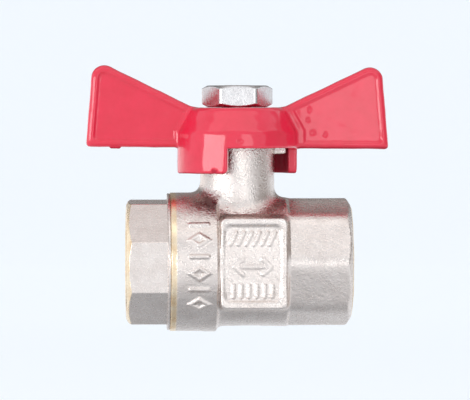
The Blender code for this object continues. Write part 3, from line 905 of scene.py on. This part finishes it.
def nut_field(x, y, z):
    """Hexagon nut with chamfered faces and a threaded bore."""
    r = np.hypot(x, y)
    hexagon = polygon_bar(NUT_FLATS, 6, math.pi / 6, x, y, 0.1)
    reach = np.abs(z - sum(NUT_Z) / 2) - (NUT_Z[1] - NUT_Z[0]) / 2
    chamfer = line_field(r, reach, (NUT_CORNER_RADIUS, -NUT_CHAMFER_DEPTH),
                         (NUT_FACE_RADIUS, 0.0))
    solid = round_box(0.12, hexagon, r - NUT_CORNER_RADIUS, chamfer, reach)
    wave = thread_wave(z, np.arctan2(y, x), STEM_PITCH)
    mouth = r - NUT_BORE_RADIUS - np.maximum(reach + 0.5, 0.0)
    bore = np.minimum((r - NUT_BORE_RADIUS - 0.35 * wave) * 0.6, mouth)
    return smooth_max(solid, -bore, 0.1)


def stem_field(x, y, z):
    """Stem: tang, collar, ring groove, flats and threaded top."""
    r = np.hypot(x, y)
    half_flat, flats_start = STEM_FLATS
    wave = thread_wave(z, np.arctan2(y, x), STEM_PITCH)
    threaded = smooth_step(31.6, 32.4, z)
    shaft = (r - STEM_RADIUS + 0.55 * wave * threaded) * 0.7
    top = line_field(r, z, (4.0, STEM_HIGH.z - 0.6), (3.4, STEM_HIGH.z))
    shaft = round_box(0.12, shaft, z - STEM_HIGH.z, top, 11.5 - z)
    flats = np.maximum(np.abs(x) - half_flat, flats_start - z)
    shaft = np.where(z > flats_start, smooth_max(shaft, flats, 0.15), shaft)
    groove = round_box(0.1, STEM_GROOVE_RADIUS - r, np.abs(z - STEM_GROOVE_Z) - 0.95)
    shaft = smooth_max(shaft, -groove, 0.1)
    collar = round_box(0.2, r - STEM_COLLAR_RADIUS, z - STEM_COLLAR_Z[1], STEM_COLLAR_Z[0] - z)
    tang = round_box(0.3, np.abs(x) - TANG_HALF[0], np.abs(y) - TANG_HALF[1],
                     STEM_LOW.z - z, z - 12.0)
    return smooth_min(np.minimum(shaft, collar), tang, 0.3)


def ball_field(x, y, z):
    """Bored ball with its drive slot."""
    ball = np.sqrt(x * x + y * y + z * z) - BALL_RADIUS
    bore = np.hypot(y, z) - PORT_RADIUS
    slot = np.maximum(np.abs(x) - SLOT_HALF, SLOT_FLOOR - z)
    return smooth_max(smooth_max(ball, -bore, 0.5), -slot, 0.25)


def gland_field(x, y, z):
    """Slotted ring that presses on the stem packing."""
    low, high = node_box_mm("packing_gland_nut")
    r = np.hypot(x, y)
    wave = thread_wave(z, np.arctan2(y, x), 1.0)
    ring = round_box(0.15, (r - 5.85 + 0.4 * wave) * 0.7, 4.3 - r, z - high.z, low.z - z)
    slot = round_box(0.1, np.abs(x) - 0.9, high.z - 1.4 - z)
    return smooth_max(ring, -slot, 0.1)


def washer_profile(inner, outer, low, high, bevel=0.15):
    """Closed profile of a flat ring with broken edges."""
    return [(inner, high - bevel), (inner + bevel, high), (outer - bevel, high),
            (outer, high - bevel), (outer, low + bevel), (outer - bevel, low),
            (inner + bevel, low), (inner, low + bevel)]


def make_ring(name, node, inner, outer):
    """A PTFE ring round the stem at its CAD node's height."""
    low, high = node_box_mm(node)
    return turned(name, washer_profile(inner, outer, low.z, high.z), "Z")


def make_seat(name, side):
    """Seat ring with a spherical face; side is -1 or +1 along the flow axis."""
    outer, back, face = 10.2, 10.2, BALL_RADIUS + 0.05
    steps = 24
    first, last = PORT_RADIUS + 0.15, outer - 0.15
    radii = [first + (last - first) * i / steps for i in range(steps + 1)]
    profile = [(PORT_RADIUS, back - 0.2),
               (PORT_RADIUS, math.sqrt(face ** 2 - PORT_RADIUS ** 2) + 0.15)]
    profile += [(r, math.sqrt(face ** 2 - r ** 2)) for r in radii]
    profile += [(outer, math.sqrt(face ** 2 - outer ** 2) + 0.3), (outer, back - 0.2),
                (outer - 0.2, back), (PORT_RADIUS + 0.2, back)]
    return turned(name, [(r, side * place) for r, place in profile], "X")


def make_o_ring():
    """Round-section rubber ring in the stem's groove."""
    low, high = node_box_mm("stem_o_ring")
    section = (high.z - low.z) / 2
    middle = (high.z + low.z) / 2
    centre = high.x - section
    angles = [math.tau * i / 24 for i in range(24)]
    profile = [(centre + section * math.cos(a), middle - section * math.sin(a)) for a in angles]
    return turned("o_ring", profile, "Z")


def place_piece(obj, node, body, material):
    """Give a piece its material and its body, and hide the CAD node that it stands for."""
    obj.data.materials.clear()
    obj.data.materials.append(material)
    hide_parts(node)
    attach(obj, body)


def make_valve():
    """Make every piece of the valve."""
    brass, white = bare_brass(), ptfe()
    valve, turning = "valve", "handle_and_stem"
    place_piece(make_body(), "valve_body", valve, forged_nickel())
    place_piece(make_connector(), "end_connector", valve,
                machined_nickel())
    place_piece(make_handle(), "handle", turning, red_paint())
    place_piece(net_round_node("nut", "handle_nut", nut_field, 0.14, 0.5), "handle_nut",
                turning, plated_steel())
    place_piece(net_round_node("stem_shaft", "stem", stem_field, 0.18, 0.5), "stem",
                turning, brass)
    place_piece(make_o_ring(), "stem_o_ring", turning, rubber())
    place_piece(net_round_node("bored_ball", "ball", ball_field, 0.28, 0.5), "ball",
                "ball", chrome())
    place_piece(net_round_node("gland", "packing_gland_nut", gland_field, 0.2, 0.5),
                "packing_gland_nut", valve, brass)
    place_piece(make_seat("seat_inlet", -1), "seat_ring_inlet", valve, white)
    place_piece(make_seat("seat_outlet", 1), "seat_ring_outlet", valve, white)
    for name, inner, outer in PTFE_RINGS:
        ring = make_ring(name.replace("ring_", ""), name, inner, outer)
        place_piece(ring, name, valve, white)


# Stage, light and camera.

STAGE_FLOOR = -0.045
STAGE_RADIUS = 1.6
STAGE_BEND = 0.45
STAGE_TOP = 1.6

# Name, azimuth and elevation in degrees, distance and size in metres, and radiance.
LAMPS = (("strip_left", -49.0, 2.0, 0.62, (0.46, 0.14), 4.2),
         ("by_camera", 15.5, 1.0, 0.75, (0.27, 0.34), 1.5),
         ("above", -8.0, 58.0, 0.70, (1.35, 0.22), 0.72))
CARDS = (("card_right", 83.0, 4.0, 0.50, (0.55, 0.70), 0.36),
         ("card_behind", 180.0, 31.0, 0.60, (1.10, 0.53), 0.28),
         ("card_far_left", -140.0, -6.0, 0.55, (0.34, 0.36), 1.25),
         ("card_left", -136.0, 42.0, 0.55, (0.30, 0.28), 0.20))
LAMP_CENTRE = Vector((0, 0, 0.012))


def make_stage():
    """Round pale sweep: a floor that curves up into a wall far outside the camera's orbit."""
    steps = 16
    profile = [(0.0, STAGE_FLOOR), (STAGE_RADIUS - STAGE_BEND, STAGE_FLOOR)]
    for index in range(1, steps + 1):
        angle = math.pi / 2 * index / steps
        profile.append((STAGE_RADIUS - STAGE_BEND + STAGE_BEND * math.sin(angle),
                        STAGE_FLOOR + STAGE_BEND * (1 - math.cos(angle))))
    profile.append((STAGE_RADIUS, STAGE_TOP))
    bm = bmesh.new()
    verts = [bm.verts.new((radius, 0, height)) for radius, height in profile]
    edges = [bm.edges.new(pair) for pair in zip(verts, verts[1:])]
    bmesh.ops.spin(bm, geom=verts + edges, axis=(0, 0, 1), cent=(0, 0, 0), angle=math.tau,
                   steps=96, use_merge=True)
    bmesh.ops.remove_doubles(bm, verts=bm.verts, dist=1e-6)
    mesh = bpy.data.meshes.new("stage")
    bm.to_mesh(mesh)
    bm.free()
    mesh.shade_smooth()
    mesh.materials.append(pale_stage())
    stage = bpy.data.objects.new("stage", mesh)
    bpy.context.scene.collection.objects.link(stage)


def direction(azimuth, elevation):
    """Unit vector from the valve; azimuth 0 is towards the camera's side and 90 towards +X."""
    a, e = math.radians(azimuth), math.radians(elevation)
    return Vector((math.sin(a) * math.cos(e), -math.cos(a) * math.cos(e), math.sin(e)))


def put_facing(obj, away, distance, target):
    """Put an object off a point in the direction away, turned to face it."""
    obj.location = away * distance + target
    obj.rotation_mode = "QUATERNION"
    obj.rotation_quaternion = away.to_track_quat("Z", "Y")
    bpy.context.scene.collection.objects.link(obj)


def softbox(name, azimuth, elevation, distance, size, radiance):
    """Rectangular lamp that faces the valve; its radiance is what a mirror would show."""
    lamp = bpy.data.lights.new(name, "AREA")
    lamp.shape = "RECTANGLE"
    lamp.size, lamp.size_y = size
    lamp.energy = radiance * math.pi * size[0] * size[1]
    obj = bpy.data.objects.new(name, lamp)
    obj.visible_camera = False
    put_facing(obj, direction(azimuth, elevation), distance, LAMP_CENTRE)


def grey_card(name, azimuth, elevation, distance, size, radiance):
    """Grey or white card that only reflections see, turned to face the valve."""
    mesh = bpy.data.meshes.new(name)
    bm = bmesh.new()
    bmesh.ops.create_grid(bm, x_segments=1, y_segments=1, size=0.5)
    bm.to_mesh(mesh)
    bm.free()
    material = bpy.data.materials.new(name)
    material.use_nodes = True
    shader = material.node_tree.nodes["Principled BSDF"]
    shader.inputs["Base Color"].default_value = (0.0, 0.0, 0.0, 1.0)
    shader.inputs["Specular IOR Level"].default_value = 0.0
    shader.inputs["Emission Color"].default_value = (1.0, 0.97, 0.97, 1.0)
    shader.inputs["Emission Strength"].default_value = radiance
    mesh.materials.append(material)
    obj = bpy.data.objects.new(name, mesh)
    obj.scale = (*size, 1.0)
    obj.visible_camera = False
    obj.visible_diffuse = False
    obj.visible_shadow = False
    put_facing(obj, direction(azimuth, elevation), distance, Vector((0, 0, 0)))


def make_lights():
    """Plain studio light: soft lamps in front and above, cards at the sides and behind."""
    for lamp in LAMPS:
        softbox(*lamp)
    for card in CARDS:
        grey_card(*card)
    world = bpy.data.worlds.new("studio")
    world.use_nodes = True
    background = world.node_tree.nodes["Background"]
    background.inputs["Color"].default_value = (0.96, 0.97, 1.0, 1.0)
    background.inputs["Strength"].default_value = 0.82
    bpy.context.scene.world = world


CAMERA_AZIMUTH = -2.4
CAMERA_ELEVATION = 1.2
CAMERA_DISTANCE = 0.9
PICTURE_WIDTH_MM = 97.5
AIM = Vector((-0.00045, 0.0, 0.0128))


def make_camera():
    """Long lens, level with the valve and a little to its left."""
    lens = bpy.data.cameras.new("camera")
    lens.sensor_width = 36.0
    lens.lens = lens.sensor_width * CAMERA_DISTANCE / (PICTURE_WIDTH_MM * MM)
    lens.clip_start, lens.clip_end = 0.01, 20.0
    camera = bpy.data.objects.new("camera", lens)
    put_facing(camera, direction(CAMERA_AZIMUTH, CAMERA_ELEVATION), CAMERA_DISTANCE, AIM)
    bpy.context.scene.camera = camera


bpy.context.scene.view_settings.view_transform = "Standard"
make_stage()
make_lights()
make_camera()
make_valve()
